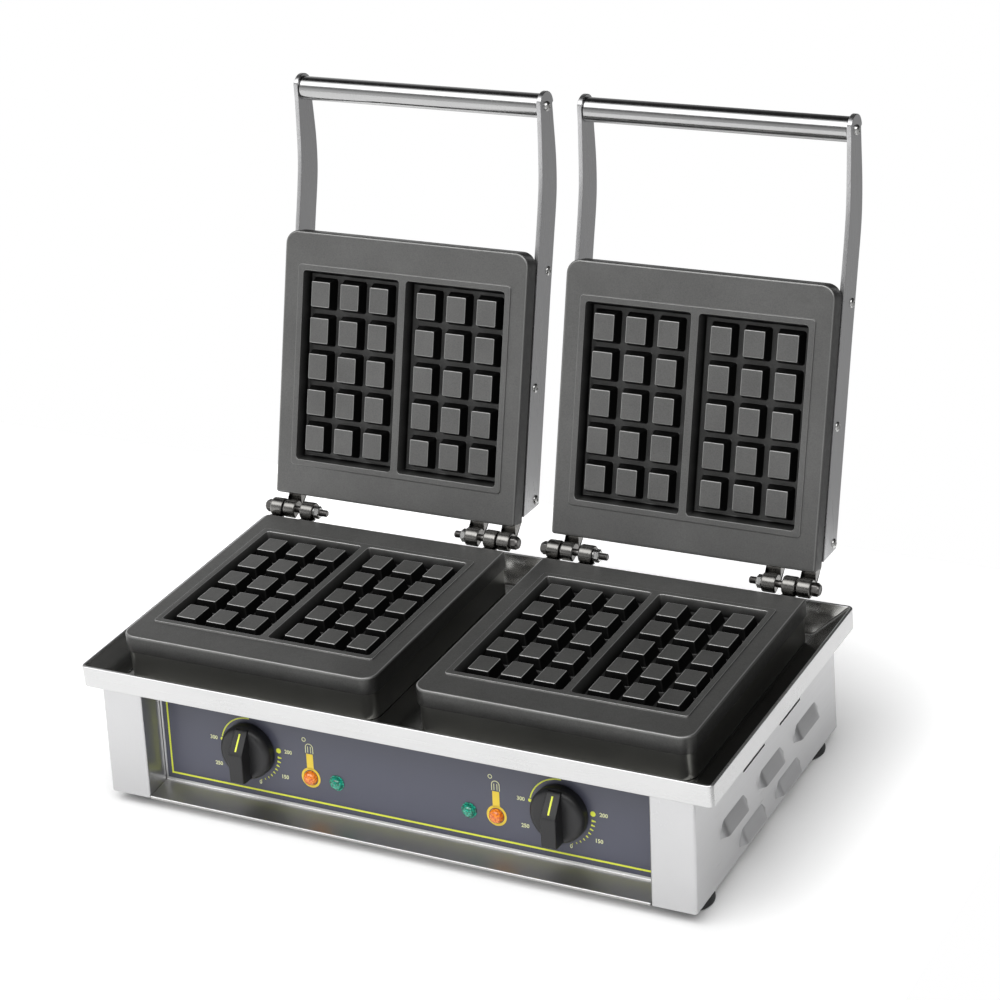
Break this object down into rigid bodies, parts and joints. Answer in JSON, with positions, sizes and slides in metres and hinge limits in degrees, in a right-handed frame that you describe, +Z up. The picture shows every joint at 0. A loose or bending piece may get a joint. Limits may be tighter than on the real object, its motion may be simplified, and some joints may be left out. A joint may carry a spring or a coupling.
{
  "type": "waffle iron",
  "caption": "Counter-top electric waffle iron with side-by-side hinged cast-iron moulds, bar handles, drip tray and thermostat knobs in a steel housing.",
  "frame": {"origin": "centre of the whole object's bounding box with both lids open, on the worktop", "axes": "+Z up, +X to the operator's right along the housing, -Y out of the control panel towards the operator"},
  "size_m": [0.55, 0.4035, 0.4933],
  "materials": {
    "satin_steel": "satin",
    "bright_steel": "polished",
    "cast_iron": "matt ground",
    "black_plastic": "matt",
    "black_rubber": "matt",
    "zinc_steel": "zinc plated",
    "black_steel": "black oxide",
    "slate_print": "printed overlay",
    "sheath_steel": "heat darkened",
    "amber_lens": "gloss",
    "green_lens": "gloss",
    "cream_ceramic": "glazed"
  },
  "bodies": {
    "base": {"housing_shell": "satin_steel", "base_pan": "bright_steel", "control_panel": "bright_steel", "control_fascia": "slate_print", "drip_tray": "bright_steel", "left_skirt": "bright_steel", "left_lower_plate": "cast_iron", "left_lower_element": "sheath_steel", "left_thermostat": "black_plastic", "left_lamp_amber": "amber_lens", "left_lamp_green": "green_lens", "left_hinge_bolt_left": "black_steel", "left_hinge_nut_left": "zinc_steel", "left_hinge_bolt_right": "black_steel", "left_hinge_nut_right": "zinc_steel", "right_skirt": "bright_steel", "right_lower_plate": "cast_iron", "right_lower_element": "sheath_steel", "right_thermostat": "black_plastic", "right_lamp_amber": "amber_lens", "right_lamp_green": "green_lens", "right_hinge_bolt_left": "black_steel", "right_hinge_nut_left": "zinc_steel", "right_hinge_bolt_right": "black_steel", "right_hinge_nut_right": "zinc_steel", "foot_front_left": "black_rubber", "foot_front_right": "black_rubber", "foot_rear_left": "black_rubber", "foot_rear_right": "black_rubber", "terminal_block": "cream_ceramic", "cable_gland": "black_plastic"},
    "left_lid": {"left_upper_plate": "cast_iron", "left_upper_element": "sheath_steel", "left_upper_cover": "satin_steel", "left_grip_tube": "bright_steel", "left_lid_gland": "black_plastic", "left_arm_left": "satin_steel", "left_grip_screw_left": "zinc_steel", "left_arm_right": "satin_steel", "left_grip_screw_right": "zinc_steel"},
    "left_dial": {"left_knob": "black_plastic"},
    "right_lid": {"right_upper_plate": "cast_iron", "right_upper_element": "sheath_steel", "right_upper_cover": "satin_steel", "right_grip_tube": "bright_steel", "right_lid_gland": "black_plastic", "right_arm_left": "satin_steel", "right_grip_screw_left": "zinc_steel", "right_arm_right": "satin_steel", "right_grip_screw_right": "zinc_steel"},
    "right_dial": {"right_knob": "black_plastic"}
  },
  "joints": [
    {"name": "left_lid_hinge", "type": "hinge", "parent": "base", "child": "left_lid", "pos_m": [-0.1333, 0.0673, 0.1424], "axis": [1, 0, 0], "range_deg": [0, 107]},
    {"name": "right_lid_hinge", "type": "hinge", "parent": "base", "child": "right_lid", "pos_m": [0.1333, 0.0673, 0.1424], "axis": [1, 0, 0], "range_deg": [0, 107]},
    {"name": "left_dial_turn", "type": "hinge", "parent": "base", "child": "left_dial", "pos_m": [-0.1379, -0.17151, 0.05603], "axis": [0, 0.9959, -0.0906], "range_deg": [0, 270]},
    {"name": "right_dial_turn", "type": "hinge", "parent": "base", "child": "right_dial", "pos_m": [0.1379, -0.17151, 0.05603], "axis": [0, 0.9959, -0.0906], "range_deg": [0, 270]}
  ]
}
